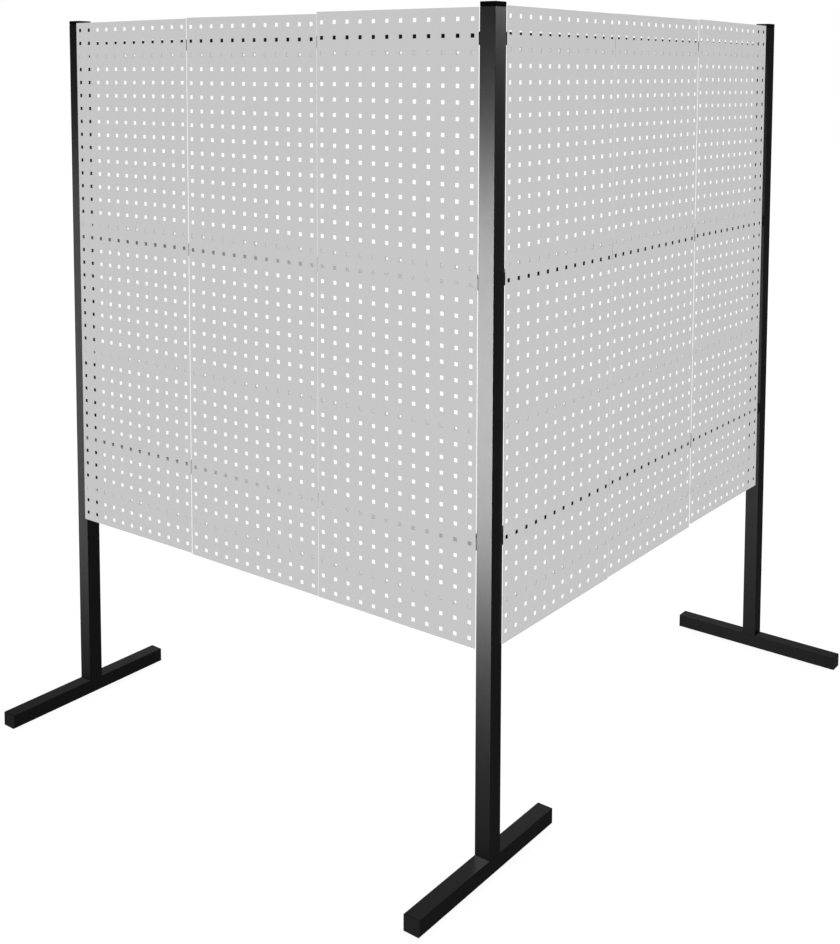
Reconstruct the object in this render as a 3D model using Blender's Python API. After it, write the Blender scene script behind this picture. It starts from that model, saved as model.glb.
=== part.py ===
"""Free-standing corner display wall: perforated steel panels on a black tube frame.

Three square posts stand on three foot bars. Two walls meet at the corner post at a right
angle: the left wall runs along -X and shows its face to -Y, the right wall runs along +Y and
shows its face to +X. Each wall has three horizontal rails that hook into slots in the posts,
and three perforated panels that hang on the middle rail by a folded hanger strip.

Frame: metres, +Z up, origin on the floor under the axis of the corner post.
"""
import math

import bmesh
import bpy
from mathutils import Matrix, Vector

# ---- driving dimensions ---------------------------------------------------------------
CLEARANCE = 0.0003            # gap left between pieces that touch
FIT_GAP = 0.0005              # gap at each end of a rail
TUBE = 0.041                  # posts are square tubes of this size
TUBE_WALL = 0.002
TUBE_RADIUS = 0.0006          # outside corner radius of every tube
BORE_RADIUS = 0.0004          # inside corner radius

FOOT_LENGTH = 0.513
FOOT_HEIGHT = 0.0368
FOOT_FORWARD = 0.0172         # the foot's middle stands this far in front of the post's axis

CORNER_HEIGHT = 1.9405        # floor to the top of each post's cap
LEFT_END_HEIGHT = 1.9245
RIGHT_END_HEIGHT = 1.9385
LEFT_BAY = 1.4075             # corner post axis to left end post axis
RIGHT_BAY = 1.4325            # corner post axis to right end post axis

CAP_HEIGHT = 0.011
CAP_EDGE = 0.0006
PLUG_DEPTH = 0.018            # how far a cap or a plug reaches into its tube
PLUG_WALL = 0.002
PLUG_FACE = 0.003             # thickness of a foot plug's visible face
PLUG_SLACK = 0.0004           # room between a plug and the tube's inside

# ---- panels; the triples go from the corner post outwards: inner, middle, outer ----------
COLUMNS, ROWS = 12, 39
LEFT_PITCH_X = (0.0398, 0.03805, 0.0378)    # hole columns stand further apart in the inner panels
RIGHT_PITCH_X = (0.0395, 0.0379, 0.03775)
LEFT_PITCH_Z = (0.0360, 0.03585, 0.0358)
RIGHT_PITCH_Z = (0.03585, 0.0358, 0.0358)
LEFT_ROW_20 = (1.2199, 1.2195, 1.2193)      # height of the middle hole row
RIGHT_ROW_20 = (1.2300, 1.2315, 1.2334)     # the right wall's panels hang a little higher
SIDE_MARGIN = 0.0153          # middle of the last hole column to the far side
LEFT_NEAR_MARGINS = (0.0163, 0.0164, 0.0160)    # middle of the first hole column to the near side
RIGHT_NEAR_MARGINS = (0.0126, 0.0158, 0.0152)
LEFT_TOP_MARGINS = (0.0248, 0.0232, 0.0205)     # middle of the first hole row to the top edge
RIGHT_TOP_MARGINS = (0.0215, 0.0215, 0.0195)
LEFT_BOTTOM_MARGINS = (0.0205, 0.0222, 0.0224)
RIGHT_BOTTOM_MARGINS = (0.0258, 0.0258, 0.0235)
LEFT_GAPS = (0.0006, 0.0016, 0.0029)            # in front of each panel, on the corner post's side
RIGHT_GAPS = (-0.0006, 0.0021, 0.0044)          # the first laps over the corner post's face
PANEL_SLOPES = (0.0, 0.0, 0.0087)                # the outer panels sag towards the end posts
HOLE_X, HOLE_Z = 0.0102, 0.0095
SHEET = 0.0010
PANEL_NAMES = ("inner", "middle", "outer")

# ---- strips welded behind the panels ----------------------------------------------------
STRIP = 0.0015                # thickness
STRIP_HEIGHT = 0.022
STRIP_SIDE = 0.002            # how far a strip stops short of the panel's side
STRIP_ROWS = {"top_strip": 3, "hanger_strip": 16, "middle_strip": 26, "bottom_strip": 37}
STRIP_COLUMNS = (2, 6, 7, 11)  # columns with a round fixing hole
STRIP_HOLE = 0.0065
HANGER_LIP = 0.004            # lip that drops behind the middle rail
PANEL_BACK = TUBE / 2 + 2 * CLEARANCE + STRIP
PANEL_FRONT = PANEL_BACK + SHEET

# ---- rails ----------------------------------------------------------------------------
RAIL_HEIGHT = 0.028
RAIL_DEPTH = 0.025
RAIL_WALL = 0.0015
RAIL_RADIUS = 0.001
LEFT_RAIL_TOPS = {"top_rail": 1.8765, "middle_rail": 1.3455, "bottom_rail": 0.7665}  # at the corner
RIGHT_RAIL_TOPS = {"top_rail": 1.8765, "middle_rail": 1.3550, "bottom_rail": 0.7760}
LEFT_RAIL_FALLS = {"top_rail": 0.0115, "middle_rail": 0.012, "bottom_rail": 0.013}    # at the end post
RIGHT_RAIL_FALLS = {"top_rail": 0.0, "middle_rail": 0.0, "bottom_rail": 0.0}
BLADE = 0.003                 # thickness of the hook on a rail's end
BLADE_HEIGHT = 0.012
BLADE_DROP = 0.005            # how far the hook drops behind the slot's lower edge
BLADE_TIP = 0.0035
SLOT_SLACK = 0.0004

# ---- post-to-foot joint: two bolts, so that the post can't turn -----------------------------
BOLT_OFFSET = 0.0105          # in front of and behind the post's axis
BOLT_RADIUS = 0.003
BOLT_HEAD_RADIUS = 0.005
BOLT_HEAD_HEIGHT = 0.006
BOLT_SOCKET_RADIUS = 0.0028
BOLT_SOCKET_DEPTH = 0.003
INSERT_HEIGHT = 0.025
ACCESS_RADIUS = 0.006         # holes under the foot that let the bolts and their key in

LEFT, RIGHT, BACK, FRONT = Vector((-1, 0, 0)), Vector((1, 0, 0)), Vector((0, 1, 0)), Vector((0, -1, 0))


# ---- scene and materials ------------------------------------------------------------------
def clear_scene():
    for obj in list(bpy.data.objects):
        bpy.data.objects.remove(obj, do_unlink=True)


def new_collection(name):
    collection = bpy.data.collections.new(name)
    bpy.context.scene.collection.children.link(collection)
    return collection


def material(name, colour, roughness, metallic=0.0):
    mat = bpy.data.materials.new(name)
    mat.use_nodes = True
    shader = mat.node_tree.nodes["Principled BSDF"]
    shader.inputs["Base Color"].default_value = (*colour, 1.0)
    shader.inputs["Roughness"].default_value = roughness
    shader.inputs["Metallic"].default_value = metallic
    return mat


clear_scene()
DISPLAY_WALL = new_collection("corner_display_wall")
CUTTERS = new_collection("cutters")
BLACK_FRAME = material("black_powder_coat", (0.012, 0.012, 0.013), 0.38)
BLACK_PLASTIC = material("black_plastic", (0.006, 0.006, 0.006), 0.5)
GREY_PANEL = material("light_grey_powder_coat", (0.56, 0.56, 0.56), 0.5)
ZINC = material("zinc_plated_steel", (0.62, 0.63, 0.65), 0.32, 1.0)


# ---- building blocks ------------------------------------------------------------------------
def add_object(name, bm, mat=None, collection=None):
    """Turn a bmesh into a named object; without a material it is a hidden cutter."""
    bmesh.ops.recalc_face_normals(bm, faces=bm.faces[:])
    mesh = bpy.data.meshes.new(name)
    bm.to_mesh(mesh)
    bm.free()
    obj = bpy.data.objects.new(name, mesh)
    if mat is None:
        obj.hide_render = True
        obj.display_type = "WIRE"
        CUTTERS.objects.link(obj)
    else:
        mesh.materials.append(mat)
        (collection or DISPLAY_WALL).objects.link(obj)
    return obj


def box_mesh(low, high, radius=0.0, along=None, segments=3):
    """A box between two corners; edges parallel to `along` are rounded with `radius`."""
    low, high = Vector(low), Vector(high)
    size = high - low
    bm = bmesh.new()
    bmesh.ops.create_cube(bm, size=1.0)
    bmesh.ops.transform(bm, matrix=Matrix.Translation((low + high) / 2) @ Matrix.Diagonal((*size, 1.0)),
                        verts=bm.verts[:])
    if radius > 0.0:
        def chosen(edge):
            direction = (edge.verts[1].co - edge.verts[0].co).normalized()
            return along is None or abs(direction.dot(along)) > 0.99
        bmesh.ops.bevel(bm, geom=[edge for edge in bm.edges if chosen(edge)], offset=radius,
                        offset_type="OFFSET", segments=segments, profile=0.5, affect="EDGES")
    return bm


def box(name, low, high, mat=None, radius=0.0, along=None, segments=3):
    return add_object(name, box_mesh(low, high, radius, along, segments), mat)


def rod_mesh(centre, radius, length, axis, sides, bm=None):
    """A cylinder around `centre`, running along `axis`."""
    bm = bm or bmesh.new()
    turn = Vector((0, 0, 1)).rotation_difference(axis).to_matrix().to_4x4()
    bmesh.ops.create_cone(bm, cap_ends=True, segments=sides, radius1=radius, radius2=radius, depth=length,
                          matrix=Matrix.Translation(centre) @ turn)
    return bm


def rod(name, centre, radius, length, axis, mat=None, sides=24):
    return add_object(name, rod_mesh(centre, radius, length, axis, sides), mat)


def rod_row(name, centres, radius, length, axis, sides):
    """Several equal cylinders in one cutter."""
    bm = bmesh.new()
    for centre in centres:
        rod_mesh(centre, radius, length, axis, sides, bm)
    return add_object(name, bm)


def combine(target, other, operation):
    modifier = target.modifiers.new(operation.lower(), "BOOLEAN")
    modifier.operation = operation
    modifier.solver = "EXACT"
    modifier.object = other


def cut(target, cutter):
    combine(target, cutter, "DIFFERENCE")


def join(target, piece):
    combine(target, piece, "UNION")


def smooth_round_faces(obj):
    obj.data.shade_smooth()
    obj.data.set_sharp_from_angle(angle=math.radians(35))


def between(first, second):
    """Low and high corners of the box that spans two points."""
    low = Vector(min(a, b) for a, b in zip(first, second))
    high = Vector(max(a, b) for a, b in zip(first, second))
    return low, high


class Panel:
    """One panel's edges and holes: distances from the corner post's axis, and heights."""

    def __init__(self, name, near, near_margin, pitch_x, pitch_z, row_20, top_margin, bottom_margin, slope):
        self.name = name
        self.slope = slope
        self.near = near
        self.first_column = near + near_margin
        self.pitch_x = pitch_x
        self.pitch_z = pitch_z
        self.row_20 = row_20
        self.far = self.column(COLUMNS) + SIDE_MARGIN
        self.middle = (self.near + self.far) / 2
        self.top = self.row(1) + top_margin
        self.bottom = self.row(ROWS) - bottom_margin

    def column(self, number):
        return self.first_column + (number - 1) * self.pitch_x

    def row(self, number):
        return self.row_20 + (20 - number) * self.pitch_z


class Wall:
    """A wall's own directions: `along` away from the corner post, `out` towards the viewer."""

    def __init__(self, name, along, out, bay, rail_tops, rail_falls):
        self.name = name
        self.along = along
        self.out = out
        self.bay = bay
        self.rail_tops = rail_tops
        self.rail_falls = rail_falls
        self.panels = []

    def point(self, distance, forward, height):
        return self.along * distance + self.out * forward + Vector((0, 0, height))

    def rail_top(self, rail, distance):
        return self.rail_tops[rail] - self.rail_falls[rail] * distance / self.bay

    def lean(self, obj, slope, pivot):
        """Lower an object by `slope` for every metre it lies beyond `pivot`, so it stays upright."""
        shear = Matrix.Identity(4)
        shear[2][0], shear[2][1] = -slope * self.along.x, -slope * self.along.y
        shear[2][3] = slope * pivot
        obj.data.transform(shear)
        return obj

    def hang(self, gaps, near_margins, pitches_x, pitches_z, rows_20, top_margins, bottom_margins):
        """Lay the three panels out one after another, starting at the corner post's face."""
        near = TUBE / 2
        for index, panel_name in enumerate(PANEL_NAMES):
            panel = Panel(f"{self.name}_{panel_name}", near + gaps[index], near_margins[index],
                          pitches_x[index], pitches_z[index], rows_20[index],
                          top_margins[index], bottom_margins[index], PANEL_SLOPES[index])
            self.panels.append(panel)
            near = panel.far


LEFT_WALL = Wall("left", LEFT, FRONT, LEFT_BAY, LEFT_RAIL_TOPS, LEFT_RAIL_FALLS)
LEFT_WALL.hang(LEFT_GAPS, LEFT_NEAR_MARGINS, LEFT_PITCH_X, LEFT_PITCH_Z, LEFT_ROW_20,
               LEFT_TOP_MARGINS, LEFT_BOTTOM_MARGINS)
RIGHT_WALL = Wall("right", BACK, RIGHT, RIGHT_BAY, RIGHT_RAIL_TOPS, RIGHT_RAIL_FALLS)
RIGHT_WALL.hang(RIGHT_GAPS, RIGHT_NEAR_MARGINS, RIGHT_PITCH_X, RIGHT_PITCH_Z, RIGHT_ROW_20,
                RIGHT_TOP_MARGINS, RIGHT_BOTTOM_MARGINS)


# ---- posts, caps and feet -----------------------------------------------------------------------
def make_post(name, x, y, top, slots):
    """A hollow post; `slots` lists (wall, side) for the faces that carry rails."""
    half = TUBE / 2
    inner = half - TUBE_WALL
    bottom = FOOT_HEIGHT + CLEARANCE
    post = box(name, (x - half, y - half, bottom), (x + half, y + half, top - CAP_HEIGHT - CLEARANCE),
               BLACK_FRAME, TUBE_RADIUS, Vector((0, 0, 1)), 3)
    cut(post, box(name + "_bore", (x - inner, y - inner, 0), (x + inner, y + inner, top + TUBE),
                  radius=BORE_RADIUS, along=Vector((0, 0, 1)), segments=2))
    for wall, side in slots:
        face = side * half if side > 0 else wall.bay + side * half
        for rail in wall.rail_tops:
            blade_top = wall.rail_top(rail, face) - (RAIL_HEIGHT - BLADE_HEIGHT) / 2
            middle = rail_middle()
            low, high = between(
                wall.point(face - 2 * TUBE_WALL, middle - BLADE / 2 - SLOT_SLACK,
                           blade_top - BLADE_HEIGHT - CLEARANCE),
                wall.point(face + 2 * TUBE_WALL, middle + BLADE / 2 + SLOT_SLACK,
                           blade_top + BLADE_DROP + SLOT_SLACK))
            cut(post, box(f"{name}_{wall.name}_slot", low, high))
    smooth_round_faces(post)
    return post


def make_post_cap(name, x, y, top):
    """A push-in cap: a flat lid with softened edges on a square hollow plug."""
    half = TUBE / 2
    lid_bottom = top - CAP_HEIGHT
    cap = box(name, (x - half, y - half, lid_bottom), (x + half, y + half, top),
              BLACK_PLASTIC, CAP_EDGE, None, 2)
    plug = half - TUBE_WALL - PLUG_SLACK
    join(cap, box(name + "_plug", (x - plug, y - plug, lid_bottom - PLUG_DEPTH),
                  (x + plug, y + plug, lid_bottom + CAP_HEIGHT / 2)))
    hollow = plug - PLUG_WALL
    cut(cap, box(name + "_hollow", (x - hollow, y - hollow, lid_bottom - 2 * PLUG_DEPTH),
                 (x + hollow, y + hollow, lid_bottom + CAP_HEIGHT / 4)))
    smooth_round_faces(cap)
    return cap


def make_foot(name, post, out):
    """A foot bar under a post, a plug in each of its ends, and the two bolts that hold the post."""
    side = Vector((abs(out.y), abs(out.x), 0))
    centre = post + out * FOOT_FORWARD
    reach = FOOT_LENGTH / 2 - PLUG_FACE - CLEARANCE
    half = TUBE / 2
    low, high = between(centre - out * reach - side * half, centre + out * reach + side * half)
    foot = box(name, (low.x, low.y, 0), (high.x, high.y, FOOT_HEIGHT), BLACK_FRAME, TUBE_RADIUS, out, 3)
    inner = half - TUBE_WALL
    low, high = between(centre - out * FOOT_LENGTH - side * inner, centre + out * FOOT_LENGTH + side * inner)
    cut(foot, box(name + "_bore", (low.x, low.y, TUBE_WALL), (high.x, high.y, FOOT_HEIGHT - TUBE_WALL),
                  radius=BORE_RADIUS, along=out, segments=2))
    up = Vector((0, 0, 1))
    seats = [post + out * BOLT_OFFSET, post - out * BOLT_OFFSET]
    cut(foot, rod_row(name + "_bolt_holes", [seat + up * FOOT_HEIGHT for seat in seats],
                      BOLT_RADIUS + SLOT_SLACK, 3 * TUBE_WALL, up, 16))
    cut(foot, rod_row(name + "_access_holes", seats, ACCESS_RADIUS, 3 * TUBE_WALL, up, 20))
    smooth_round_faces(foot)
    for end, sign, seat in (("front", 1, seats[0]), ("rear", -1, seats[1])):
        make_foot_plug(f"{name}_{end}_plug", centre + out * sign * FOOT_LENGTH / 2, out * sign, side)
        make_foot_bolt(f"{name}_{end}_bolt", seat)
    return foot


def make_foot_plug(name, tip, outward, side):
    """A push-in end plug: a face as large as the tube on a hollow square plug."""
    half = TUBE / 2
    low, high = between(tip - outward * PLUG_FACE - side * half, tip + side * half)
    plug = box(name, (low.x, low.y, 0), (high.x, high.y, FOOT_HEIGHT), BLACK_PLASTIC, TUBE_RADIUS, outward, 3)
    inner = half - TUBE_WALL - PLUG_SLACK
    low, high = between(tip - outward * (PLUG_FACE + PLUG_DEPTH) - side * inner,
                        tip - outward * PLUG_FACE / 2 + side * inner)
    bottom, top = TUBE_WALL + PLUG_SLACK, FOOT_HEIGHT - TUBE_WALL - PLUG_SLACK
    join(plug, box(name + "_body", (low.x, low.y, bottom), (high.x, high.y, top)))
    hollow = inner - PLUG_WALL
    low, high = between(tip - outward * (PLUG_FACE + 2 * PLUG_DEPTH) - side * hollow,
                        tip - outward * PLUG_FACE + side * hollow)
    cut(plug, box(name + "_hollow", (low.x, low.y, bottom + PLUG_WALL), (high.x, high.y, top - PLUG_WALL)))
    smooth_round_faces(plug)
    return plug


def make_foot_bolt(name, base):
    """A socket-head bolt from inside the foot, up into the post's threaded insert."""
    up = Vector((0, 0, 1))
    seat = FOOT_HEIGHT - TUBE_WALL - CLEARANCE
    tip = FOOT_HEIGHT + INSERT_HEIGHT
    bolt = rod(name, base + up * (seat - BOLT_HEAD_HEIGHT / 2), BOLT_HEAD_RADIUS, BOLT_HEAD_HEIGHT, up, ZINC)
    join(bolt, rod(name + "_shank", base + up * (seat + tip - CLEARANCE) / 2, BOLT_RADIUS,
                   tip - seat + CLEARANCE, up, sides=16))
    cut(bolt, rod(name + "_socket", base + up * (seat - BOLT_HEAD_HEIGHT), BOLT_SOCKET_RADIUS,
                  2 * BOLT_SOCKET_DEPTH, up, sides=6))
    smooth_round_faces(bolt)
    return bolt


def make_post_insert(name, x, y, out):
    """The threaded block in a post's lower end that the foot bolts screw into."""
    half = TUBE / 2 - TUBE_WALL - CLEARANCE
    bottom = FOOT_HEIGHT + CLEARANCE
    insert = box(name, (x - half, y - half, bottom), (x + half, y + half, bottom + INSERT_HEIGHT), ZINC)
    base = Vector((x, y, bottom))
    cut(insert, rod_row(name + "_threads", [base + out * BOLT_OFFSET, base - out * BOLT_OFFSET],
                        BOLT_RADIUS + CLEARANCE, 3 * INSERT_HEIGHT, Vector((0, 0, 1)), 16))
    return insert


# ---- rails -----------------------------------------------------------------------------------
def rail_middle():
    """Forward distance of a rail's middle: its front is flush with the posts' fronts."""
    return TUBE / 2 - RAIL_DEPTH / 2


def make_rail(wall, rail):
    """A rectangular tube with an end plate and a drop-in hook at each end."""
    name = f"{wall.name}_{rail}"
    slope = wall.rail_falls[rail] / wall.bay
    top = wall.rail_tops[rail]
    bottom = top - RAIL_HEIGHT
    front = TUBE / 2
    start, end = TUBE / 2 + FIT_GAP, wall.bay - TUBE / 2 - FIT_GAP

    def rail_box(part, from_point, to_point, *look):
        return wall.lean(box(name + part, *between(from_point, to_point), *look), slope, 0.0)

    tube = rail_box("", wall.point(start, front - RAIL_DEPTH, bottom), wall.point(end, front, top),
                    BLACK_FRAME, RAIL_RADIUS, wall.along, 3)
    cut(tube, rail_box("_bore", wall.point(start + BLADE, front - RAIL_DEPTH + RAIL_WALL, bottom + RAIL_WALL),
                       wall.point(end - BLADE, front - RAIL_WALL, top - RAIL_WALL)))
    middle = rail_middle()
    blade_top = top - (RAIL_HEIGHT - BLADE_HEIGHT) / 2
    blade_bottom = blade_top - BLADE_HEIGHT
    for end_name, face, away in (("_near", start, -1), ("_far", end, 1)):
        root = face - away * BLADE / 2
        neck = face + away * (FIT_GAP + TUBE_WALL + SLOT_SLACK)
        tip = neck + away * BLADE_TIP
        join(tube, rail_box(end_name + "_neck", wall.point(root, middle - BLADE / 2, blade_bottom),
                            wall.point(tip, middle + BLADE / 2, blade_top)))
        join(tube, rail_box(end_name + "_drop",
                            wall.point(neck, middle - BLADE / 2, blade_bottom - BLADE_DROP),
                            wall.point(tip, middle + BLADE / 2, blade_top - BLADE_DROP)))
        vent = wall.point(face, middle - RAIL_DEPTH / 4, (top + bottom) / 2)
        vent_rod = rod(name + end_name + "_vent", vent, BLADE / 2, 4 * BLADE, wall.along, sides=12)
        cut(tube, wall.lean(vent_rod, slope, 0.0))
    smooth_round_faces(tube)
    return tube


# ---- panels ------------------------------------------------------------------------------------
def make_panel(wall, panel):
    """One sheet with the square holes that line up with its strips' fixing holes."""
    name = panel.name + "_panel"
    low, high = between(wall.point(panel.near, PANEL_BACK, panel.bottom),
                        wall.point(panel.far, PANEL_FRONT, panel.top))
    sheet = wall.lean(box(name, low, high, GREY_PANEL), panel.slope, panel.middle)
    for strip, row in STRIP_ROWS.items():
        for column in STRIP_COLUMNS:
            distance, height = panel.column(column), panel.row(row)
            low, high = between(
                wall.point(distance - HOLE_X / 2, PANEL_BACK - SHEET / 2, height - HOLE_Z / 2),
                wall.point(distance + HOLE_X / 2, PANEL_FRONT + SHEET / 2, height + HOLE_Z / 2))
            hole = box(f"{name}_hole_{row}_{column}", low, high)
            cut(sheet, wall.lean(hole, panel.slope, panel.middle))
        make_strip(wall, panel, strip, row)
    return sheet


def make_strip(wall, panel, strip, row):
    """A flat strip behind the sheet; the hanger strip also folds over the middle rail."""
    name = f"{panel.name}_{strip}"
    height = panel.row(row)
    back = PANEL_BACK - CLEARANCE - STRIP
    start, end = panel.near + STRIP_SIDE, panel.far - STRIP_SIDE
    bottom, top = height - STRIP_HEIGHT / 2, height + STRIP_HEIGHT / 2
    if strip == "hanger_strip":
        body = make_hanger_profile(name, wall, panel, start, end, back, top)
    else:
        low, high = between(wall.point(start, back, bottom), wall.point(end, back + STRIP, top))
        body = wall.lean(box(name, low, high, GREY_PANEL), panel.slope, panel.middle)
    centres = [wall.point(panel.column(column), back + STRIP / 2, height) for column in STRIP_COLUMNS]
    holes = rod_row(name + "_holes", centres, STRIP_HOLE / 2, 3 * STRIP, wall.out, 16)
    cut(body, wall.lean(holes, panel.slope, panel.middle))
    return body


def make_hanger_profile(name, wall, panel, start, end, back, top):
    """A strip folded back over the middle rail, with a lip that drops behind it."""
    shelf = CLEARANCE + max(wall.rail_top("middle_rail", distance) + panel.slope * (distance - panel.middle)
                            for distance in (start, end))
    lip = TUBE / 2 - RAIL_DEPTH - CLEARANCE
    outline = [(back + STRIP, shelf), (back + STRIP, top), (back, top), (back, shelf + STRIP),
               (lip - STRIP, shelf + STRIP), (lip - STRIP, shelf - HANGER_LIP), (lip, shelf - HANGER_LIP),
               (lip, shelf)]
    bm = bmesh.new()
    profile = bm.faces.new([bm.verts.new(wall.point(start, forward, height)) for forward, height in outline])
    grown = bmesh.ops.extrude_face_region(bm, geom=[profile])
    moved = [item for item in grown["geom"] if isinstance(item, bmesh.types.BMVert)]
    bmesh.ops.translate(bm, verts=moved, vec=wall.along * (end - start))
    body = wall.lean(add_object(name, bm, GREY_PANEL), panel.slope, panel.middle)
    post_face = wall.bay - TUBE / 2 - 2 * FIT_GAP
    if end > post_face:
        low, high = between(wall.point(post_face, lip - TUBE, shelf - TUBE),
                            wall.point(end + TUBE, back, shelf + TUBE))
        cut(body, box(name + "_post_notch", low, high))
    return body


# ---- assembly -------------------------------------------------------------------------------------
def make_stand(name, x, y, top, out, slots):
    make_post(name + "_post", x, y, top, slots)
    make_post_cap(name + "_post_cap", x, y, top)
    make_post_insert(name + "_post_insert", x, y, out)
    make_foot(name + "_foot", Vector((x, y, 0)), out)


make_stand("corner", 0, 0, CORNER_HEIGHT, FRONT, [(LEFT_WALL, 1), (RIGHT_WALL, 1)])
make_stand("left_end", -LEFT_BAY, 0, LEFT_END_HEIGHT, FRONT, [(LEFT_WALL, -1)])
make_stand("right_end", 0, RIGHT_BAY, RIGHT_END_HEIGHT, RIGHT, [(RIGHT_WALL, -1)])
for display_wall in (LEFT_WALL, RIGHT_WALL):
    for rail_name in display_wall.rail_tops:
        make_rail(display_wall, rail_name)
    for hung_panel in display_wall.panels:
        make_panel(display_wall, hung_panel)
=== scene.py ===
import math

import bmesh
import bpy
from mathutils import Matrix, Vector


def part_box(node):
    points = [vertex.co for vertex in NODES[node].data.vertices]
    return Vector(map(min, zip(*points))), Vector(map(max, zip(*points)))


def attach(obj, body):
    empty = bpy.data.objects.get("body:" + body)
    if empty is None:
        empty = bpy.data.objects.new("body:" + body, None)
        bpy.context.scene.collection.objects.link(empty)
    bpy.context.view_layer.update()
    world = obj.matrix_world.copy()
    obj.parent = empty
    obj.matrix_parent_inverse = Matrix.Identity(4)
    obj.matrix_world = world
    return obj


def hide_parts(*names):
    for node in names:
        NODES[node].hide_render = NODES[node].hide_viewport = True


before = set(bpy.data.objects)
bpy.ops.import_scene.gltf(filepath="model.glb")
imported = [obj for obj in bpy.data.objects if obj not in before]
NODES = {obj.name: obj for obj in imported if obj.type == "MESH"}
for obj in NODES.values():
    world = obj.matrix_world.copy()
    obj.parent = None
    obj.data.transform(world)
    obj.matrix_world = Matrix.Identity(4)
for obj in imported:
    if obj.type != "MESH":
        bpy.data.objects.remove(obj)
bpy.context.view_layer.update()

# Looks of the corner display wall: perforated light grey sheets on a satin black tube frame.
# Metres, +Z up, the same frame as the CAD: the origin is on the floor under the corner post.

# ---- panels; the triples go from the corner post outwards: inner, middle, outer ----------
COLUMNS, ROWS = 12, 39
PANEL_NAMES = ("inner", "middle", "outer")
LEFT_PITCH_X = (0.0398, 0.03805, 0.0378)
RIGHT_PITCH_X = (0.0395, 0.0379, 0.03775)
LEFT_PITCH_Z = (0.0360, 0.03585, 0.0358)
RIGHT_PITCH_Z = (0.03585, 0.0358, 0.0358)
FAR_MARGIN = 0.0153            # middle of the last hole column to the panel's far side
RIGHT_NEAR_MARGINS = (0.0126, 0.0158, 0.0152)
LEFT_TOP_MARGINS = (0.0248, 0.0232, 0.0205)
RIGHT_TOP_MARGINS = (0.0215, 0.0215, 0.0195)
PANEL_SLOPES = (0.0, 0.0, 0.0087)   # the outer panels sag towards the end posts
HOLE_X, HOLE_Z = 0.0102, 0.0095
HOLE_CORNER = 0.0012           # the punched holes have slightly rounded corners
CORNER_STEPS = 2

# ---- edges ----------------------------------------------------------------------------
WELD_DISTANCE = 0.00001
FLAT_ANGLE = math.radians(0.5)
EDGE_ANGLE = math.radians(40)
METAL_EDGE = 0.0003            # bevel on the steel pieces
PLASTIC_EDGE = 0.0004          # bevel on the caps and plugs

# ---- shades and strengths ---------------------------------------------------------------
PANEL_SHADE = 0.562
# painted light: the strips behind the holes are coloured lighter than the panels to lift the shade
# they sit in
STRIP_PAINTED_LIGHT_GREY = 0.60
CUT_EDGE_PAINTED_LIGHT_GREY = 0.74          # painted light: the punched edges are coloured lighter than the faces to lift the shade inside the holes
NOISE_RANGE = (0.3, 0.7)       # where a noise texture has nearly all its values
FLOOR_GLOW = 0.86
FLOOR_SHADE = 0.20
WORLD_IN_REFLECTIONS = 0.07

# ---- camera ---------------------------------------------------------------------------
CAMERA_PLACE = Vector((1.5886, -2.2536, 1.7927))
CAMERA_RIGHT = Vector((0.80443, 0.59402, 0.00529))
CAMERA_FORWARD = Vector((-0.59190, 0.80225, -0.07773))
CAMERA_LENS = 48.90            # millimetres, on a 36 mm sensor
CAMERA_SHIFT = (-0.0471, -0.3192)


# ---- small node helpers -----------------------------------------------------------------
class Shader:
    """A material's node tree with a Principled shader, and short calls to add nodes to it."""

    def __init__(self, name):
        self.material = bpy.data.materials.new(name)
        self.material.use_nodes = True
        self.tree = self.material.node_tree
        self.principled = self.tree.nodes["Principled BSDF"]
        self.place = self.tree.nodes.new("ShaderNodeTexCoord").outputs["Object"]

    def set(self, **values):
        for name, value in values.items():
            self.principled.inputs[name.replace("_", " ")].default_value = value

    def noise(self, scale, detail=2.0):
        node = self.tree.nodes.new("ShaderNodeTexNoise")
        node.inputs["Scale"].default_value = scale
        node.inputs["Detail"].default_value = detail
        self.tree.links.new(self.place, node.inputs["Vector"])
        return node.outputs["Fac"]

    def between(self, factor, low, high):
        """A number that runs from low to high as the factor runs over its middle range."""
        node = self.tree.nodes.new("ShaderNodeMapRange")
        node.inputs["From Min"].default_value, node.inputs["From Max"].default_value = NOISE_RANGE
        node.inputs["To Min"].default_value = low
        node.inputs["To Max"].default_value = high
        self.tree.links.new(factor, node.inputs["Value"])
        return node.outputs["Result"]

    def mix(self, factor, first, second):
        node = self.tree.nodes.new("ShaderNodeMix")
        node.data_type = "RGBA"
        node.inputs["A"].default_value = (*first, 1.0)
        node.inputs["B"].default_value = (*second, 1.0)
        self.tree.links.new(factor, node.inputs["Factor"])
        return node.outputs["Result"]

    def bump(self, height, distance, strength):
        node = self.tree.nodes.new("ShaderNodeBump")
        node.inputs["Distance"].default_value = distance
        node.inputs["Strength"].default_value = strength
        self.tree.links.new(height, node.inputs["Height"])
        return node.outputs["Normal"]

    def feed(self, socket, name):
        self.tree.links.new(socket, self.principled.inputs[name])


# ---- materials ------------------------------------------------------------------------------
def make_grey_coat(name, shade):
    """Light grey powder coat: even colour, a fine orange-peel skin and a soft low sheen."""
    shader = Shader(name)
    shader.set(Specular_IOR_Level=0.3)
    dark, light = shade * 0.99, shade * 1.01
    cloud = shader.noise(14.0, 3.0)
    shader.feed(shader.mix(cloud, (dark, dark, dark), (light, light, light)), "Base Color")
    shader.feed(shader.between(shader.noise(60.0), 0.50, 0.58), "Roughness")
    shader.feed(shader.bump(shader.noise(850.0, 1.5), 0.00006, 0.6), "Normal")
    return shader.material


def make_frame_coat():
    """Satin black powder coat with a fine skin that breaks up its broad reflections."""
    shader = Shader("frame_black_coat")
    cloud = shader.noise(9.0, 4.0)
    shader.feed(shader.mix(cloud, (0.0026, 0.0026, 0.0028), (0.0036, 0.0036, 0.0038)), "Base Color")
    shader.feed(shader.between(shader.noise(40.0, 3.0), 0.36, 0.38), "Roughness")
    shader.feed(shader.bump(shader.noise(1100.0, 1.5), 0.00004, 0.5), "Normal")
    return shader.material


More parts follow.
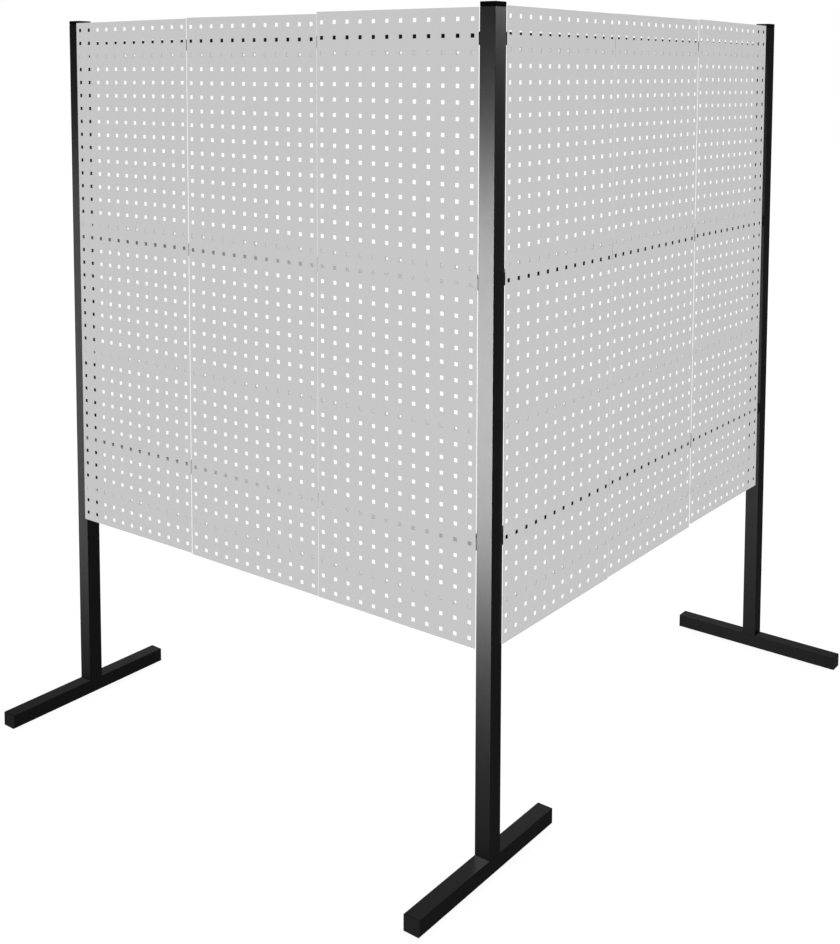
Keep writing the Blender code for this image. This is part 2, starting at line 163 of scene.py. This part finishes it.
def make_plastic(name, dark, light):
    """Matt moulded plastic with a fine spark-eroded grain."""
    shader = Shader(name)
    cloud = shader.noise(25.0, 3.0)
    shader.feed(shader.mix(cloud, (dark, dark, dark), (light, light, light)), "Base Color")
    shader.feed(shader.between(shader.noise(150.0, 3.0), 0.50, 0.62), "Roughness")
    shader.feed(shader.bump(shader.noise(1600.0, 2.0), 0.00005, 0.7), "Normal")
    return shader.material


def make_zinc():
    """Bright zinc plating with faint cloudy patches."""
    shader = Shader("zinc_plate")
    shader.set(Metallic=1.0)
    cloud = shader.noise(220.0, 4.0)
    shader.feed(shader.mix(cloud, (0.55, 0.56, 0.58), (0.70, 0.71, 0.72)), "Base Color")
    shader.feed(shader.between(shader.noise(500.0, 3.0), 0.26, 0.40), "Roughness")
    return shader.material


PANEL_COAT = make_grey_coat("panel_grey_coat", PANEL_SHADE)
# painted light: the strip coat is lighter than the panel coat so the strips seen through the holes do
# not read shaded
STRIP_PAINTED_LIGHT_COAT = make_grey_coat("strip_grey_painted_light_coat", STRIP_PAINTED_LIGHT_GREY)
# painted light: the cut-edge coat is lighter still, so the shaded hole walls read as bright as the
# face
EDGE_PAINTED_LIGHT_COAT = make_grey_coat("panel_edge_painted_light_coat", CUT_EDGE_PAINTED_LIGHT_GREY)
FRAME_COAT = make_frame_coat()
CAP_PLASTIC = make_plastic("cap_black_plastic", 0.0002, 0.0006)
PLUG_PLASTIC = make_plastic("plug_black_plastic", 0.010, 0.013)
ZINC = make_zinc()


# ---- pieces that keep their CAD shape -------------------------------------------------------------
def finish_node(node, coat, edge):
    """Give a CAD piece its coat, softened edges and smooth rounded faces."""
    mesh = node.data
    mesh.attributes.remove(mesh.attributes["custom_normal"])
    mesh.shade_smooth()
    mesh.materials.clear()
    mesh.materials.append(coat)
    weld = node.modifiers.new("weld", "WELD")
    weld.merge_threshold = WELD_DISTANCE
    flatten = node.modifiers.new("flatten", "DECIMATE")
    flatten.decimate_type = "DISSOLVE"
    flatten.angle_limit = FLAT_ANGLE
    soften = node.modifiers.new("soften", "BEVEL")
    soften.width = edge
    soften.segments = 2
    soften.limit_method = "ANGLE"
    soften.angle_limit = EDGE_ANGLE
    normals = node.modifiers.new("flat_faces", "WEIGHTED_NORMAL")
    normals.mode = "FACE_AREA"
    normals.weight = 100


def finish_nodes():
    """Coat every CAD piece but the panels, which make_sheet replaces."""
    for name, node in NODES.items():
        if name.endswith("_cap"):
            finish_node(node, CAP_PLASTIC, PLASTIC_EDGE)
        elif name.endswith("_plug"):
            finish_node(node, PLUG_PLASTIC, PLASTIC_EDGE)
        elif name.endswith(("_bolt", "_insert")):
            finish_node(node, ZINC, METAL_EDGE)
        elif name.endswith("_strip"):
            finish_node(node, STRIP_PAINTED_LIGHT_COAT, METAL_EDGE)
        elif not name.endswith("_panel"):
            finish_node(node, FRAME_COAT, METAL_EDGE)


# ---- perforated panels -------------------------------------------------------------------------
def cell_lines(count, pitch, first, size):
    """Cell borders along one side: the sheet's edge, midway between holes, the other edge."""
    return [0.0] + [first + (index + 0.5) * pitch for index in range(count - 1)] + [size]


def hole_loop(u, v):
    """Points round a square hole with rounded corners, one list per corner."""
    corners = []
    for turn, (side_u, side_v) in enumerate(((1, 1), (-1, 1), (-1, -1), (1, -1))):
        middle_u = u + side_u * (HOLE_X / 2 - HOLE_CORNER)
        middle_v = v + side_v * (HOLE_Z / 2 - HOLE_CORNER)
        points = []
        for step in range(CORNER_STEPS + 1):
            angle = math.radians(90) * (turn + step / CORNER_STEPS)
            points.append((middle_u + HOLE_CORNER * math.cos(angle),
                           middle_v + HOLE_CORNER * math.sin(angle)))
        corners.append(points)
    return corners


def add_cell(bm, border, loop):
    """Faces between a cell's four border corners and its hole."""
    corners = [[bm.verts.new((u, v, 0)) for u, v in points] for points in loop]
    for turn in range(4):
        points = corners[turn]
        for first, second in zip(points, points[1:]):
            bm.faces.new((border[turn], second, first))
        after = (turn + 1) % 4
        bm.faces.new((border[turn], border[after], corners[after][0], points[-1]))


def sheet_mesh(size, pitch, first):
    """The sheet's face in its own plane: u across, v up, with every square hole."""
    bm = bmesh.new()
    across = cell_lines(COLUMNS, pitch[0], first[0], size[0])
    upward = cell_lines(ROWS, pitch[1], first[1], size[1])
    grid = [[bm.verts.new((u, v, 0)) for v in upward] for u in across]
    for column in range(COLUMNS):
        for row in range(ROWS):
            border = (grid[column + 1][row + 1], grid[column][row + 1],
                      grid[column][row], grid[column + 1][row])
            add_cell(bm, border, hole_loop(first[0] + column * pitch[0], first[1] + row * pitch[1]))
    return bm


def make_sheet(name):
    """A perforated sheet in place of a panel's CAD solid, which has only the fixing holes."""
    low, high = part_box(name)
    size = high - low
    index = [panel in name for panel in PANEL_NAMES].index(True)
    slope = PANEL_SLOPES[index]
    if name.startswith("left"):
        pitch = (LEFT_PITCH_X[index], LEFT_PITCH_Z[index])
        width, thickness, height = size.x, size.y, size.z - slope * size.x
        first = (FAR_MARGIN, height - LEFT_TOP_MARGINS[index] - (ROWS - 1) * pitch[1])
        axes = Matrix(((1, 0, 0), (0, 0, -1), (slope, 1, 0))).to_4x4()
        corner = Vector(low)
    else:
        pitch = (RIGHT_PITCH_X[index], RIGHT_PITCH_Z[index])
        width, thickness, height = size.y, size.x, size.z - slope * size.y
        first = (RIGHT_NEAR_MARGINS[index], height - RIGHT_TOP_MARGINS[index] - (ROWS - 1) * pitch[1])
        axes = Matrix(((0, 0, 1), (1, 0, 0), (-slope, 1, 0))).to_4x4()
        corner = Vector((high.x, low.y, low.z + slope * size.y))
    bm = sheet_mesh((width, height), pitch, first)
    bm.transform(Matrix.Translation(corner) @ axes)
    mesh = bpy.data.meshes.new(name + "_sheet")
    bm.to_mesh(mesh)
    bm.free()
    mesh.materials.append(PANEL_COAT)
    mesh.materials.append(EDGE_PAINTED_LIGHT_COAT)
    sheet = bpy.data.objects.new(name + "_sheet", mesh)
    bpy.context.scene.collection.objects.link(sheet)
    solid = sheet.modifiers.new("thickness", "SOLIDIFY")
    solid.thickness = thickness
    solid.offset = -1.0
    # the rim takes the lighter edge coat, a painted light on the hole walls
    solid.material_offset_rim = 1
    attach(sheet, "root")
    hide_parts(name)


# ---- stage -----------------------------------------------------------------------------------
def make_floor():
    """A bright plain floor that keeps only the faintest contact shadows."""
    bpy.ops.mesh.primitive_plane_add(size=60.0, location=(0, 0, 0))
    floor = bpy.context.object
    floor.name = "studio_floor"
    floor.visible_glossy = False
    material = bpy.data.materials.new("studio_floor_white")
    material.use_nodes = True
    tree = material.node_tree
    tree.nodes.clear()
    glow = tree.nodes.new("ShaderNodeEmission")
    glow.inputs["Strength"].default_value = FLOOR_GLOW
    matt = tree.nodes.new("ShaderNodeBsdfDiffuse")
    matt.inputs["Color"].default_value = (FLOOR_SHADE, FLOOR_SHADE, FLOOR_SHADE, 1.0)
    both = tree.nodes.new("ShaderNodeAddShader")
    output = tree.nodes.new("ShaderNodeOutputMaterial")
    tree.links.new(glow.outputs[0], both.inputs[0])
    tree.links.new(matt.outputs[0], both.inputs[1])
    tree.links.new(both.outputs[0], output.inputs["Surface"])
    floor.data.materials.append(material)


def make_world():
    """White surroundings to the eye and to matt surfaces, and a dim studio in reflections."""
    world = bpy.data.worlds.new("studio")
    bpy.context.scene.world = world
    world.use_nodes = True
    tree = world.node_tree
    background = tree.nodes["Background"]
    background.inputs["Color"].default_value = (1, 1, 1, 1)
    path = tree.nodes.new("ShaderNodeLightPath")
    dim = tree.nodes.new("ShaderNodeMapRange")
    dim.inputs["To Min"].default_value = 1.0
    dim.inputs["To Max"].default_value = WORLD_IN_REFLECTIONS
    tree.links.new(path.outputs["Is Glossy Ray"], dim.inputs["Value"])
    tree.links.new(dim.outputs["Result"], background.inputs["Strength"])


def make_reflector(name, place, target, size, power, receivers):
    """A soft box that is seen only as a reflection in the black pieces."""
    data = bpy.data.lights.new(name, "AREA")
    data.shape = "RECTANGLE"
    data.size, data.size_y = size
    data.energy = power
    light = bpy.data.objects.new(name, data)
    light.location = place
    light.rotation_euler = (Vector(target) - Vector(place)).to_track_quat("-Z", "Y").to_euler()
    data.cycles.use_multiple_importance_sampling = False
    light.visible_camera = False
    light.visible_diffuse = False
    light.light_linking.receiver_collection = receivers
    light.light_linking.blocker_collection = receivers
    bpy.context.scene.collection.objects.link(light)


def collect(name, pieces):
    """A collection of CAD pieces for a soft box to light."""
    collection = bpy.data.collections.new(name)
    for piece in pieces:
        collection.objects.link(NODES[piece])
    return collection


def make_lights():
    """Each box stands where the camera sees it mirrored in its own pieces, and lights nothing else."""
    middle_rail = collect("lit_middle_rail", ["left_middle_rail"])
    bottom_rail = collect("lit_bottom_rail", ["left_bottom_rail"])
    right_end = collect("lit_right_end", ["right_end_post"])
    left_end = collect("lit_left_end", ["left_end_post"])
    corner = collect("lit_corner", ["corner_post"])
    right_foot = collect("lit_right_foot", ["right_end_foot"])
    feet = collect("lit_feet", ["corner_foot", "left_end_foot", "right_end_foot"])
    make_reflector("front_soft_box", (-0.72, -1.12, 0.80), (-0.72, 0.0, 0.80),
                   (1.15, 1.25), 70.0, corner)
    make_reflector("right_soft_box", (-1.10, -1.12, -0.05), (-1.10, 0.0, -0.05),
                   (1.15, 1.7), 9.5, right_end)
    make_reflector("middle_rail_soft_box", (-5.45, -7.0, -0.05), (-0.2, 0.0, 1.34),
                   (0.8, 0.8), 565.0, middle_rail)
    make_reflector("bottom_rail_soft_box", (-6.50, -7.0, -2.47), (-0.45, 0.0, 0.75),
                   (0.8, 0.8), 570.0, bottom_rail)
    make_reflector("left_soft_box", (-2.90, -1.12, 0.50), (-2.90, 0.0, 0.50),
                   (1.15, 1.85), 11.7, left_end)
    make_reflector("rear_soft_box", (1.30, 1.90, 2.60), (0.0, 0.2, 1.94),
                   (1.4, 0.8), 26.0, corner)
    make_reflector("foot_soft_box", (-3.80, 4.20, 2.20), (-3.80, 4.20, 0.0),
                   (6.0, 4.0), 28.0, feet)
    make_reflector("low_soft_box", (-1.10, -1.12, -1.17), (-1.10, 0.0, -1.17),
                   (1.2, 1.2), 3.0, right_foot)


def make_camera():
    """A camera whose lens shift applies only from its own viewpoint."""
    data = bpy.data.cameras.new("camera")
    data.sensor_width = 36.0
    data.lens = CAMERA_LENS
    data.clip_start, data.clip_end = 0.05, 200.0
    camera = bpy.data.objects.new("camera", data)
    bpy.context.scene.collection.objects.link(camera)
    forward = CAMERA_FORWARD.normalized()
    right = (CAMERA_RIGHT - forward * CAMERA_RIGHT.dot(forward)).normalized()
    up = right.cross(forward)
    turn = Matrix((right, up, -forward)).transposed().to_4x4()
    camera.matrix_world = Matrix.Translation(CAMERA_PLACE) @ turn
    bpy.context.scene.camera = camera
    for channel, shift in zip(("shift_x", "shift_y"), CAMERA_SHIFT):
        driver = data.driver_add(channel).driver
        place = driver.variables.new()
        place.name = "x"
        place.targets[0].id = camera
        place.targets[0].data_path = "location.x"
        driver.expression = f"{shift} if abs(x - {CAMERA_PLACE.x:.4f}) < 0.001 else 0.0"


# ---- everything ------------------------------------------------------------------------------------
finish_nodes()
for node_name in list(NODES):
    if node_name.endswith("_panel"):
        make_sheet(node_name)
make_floor()
make_world()
make_lights()
make_camera()
bpy.context.scene.view_settings.view_transform = "Standard"
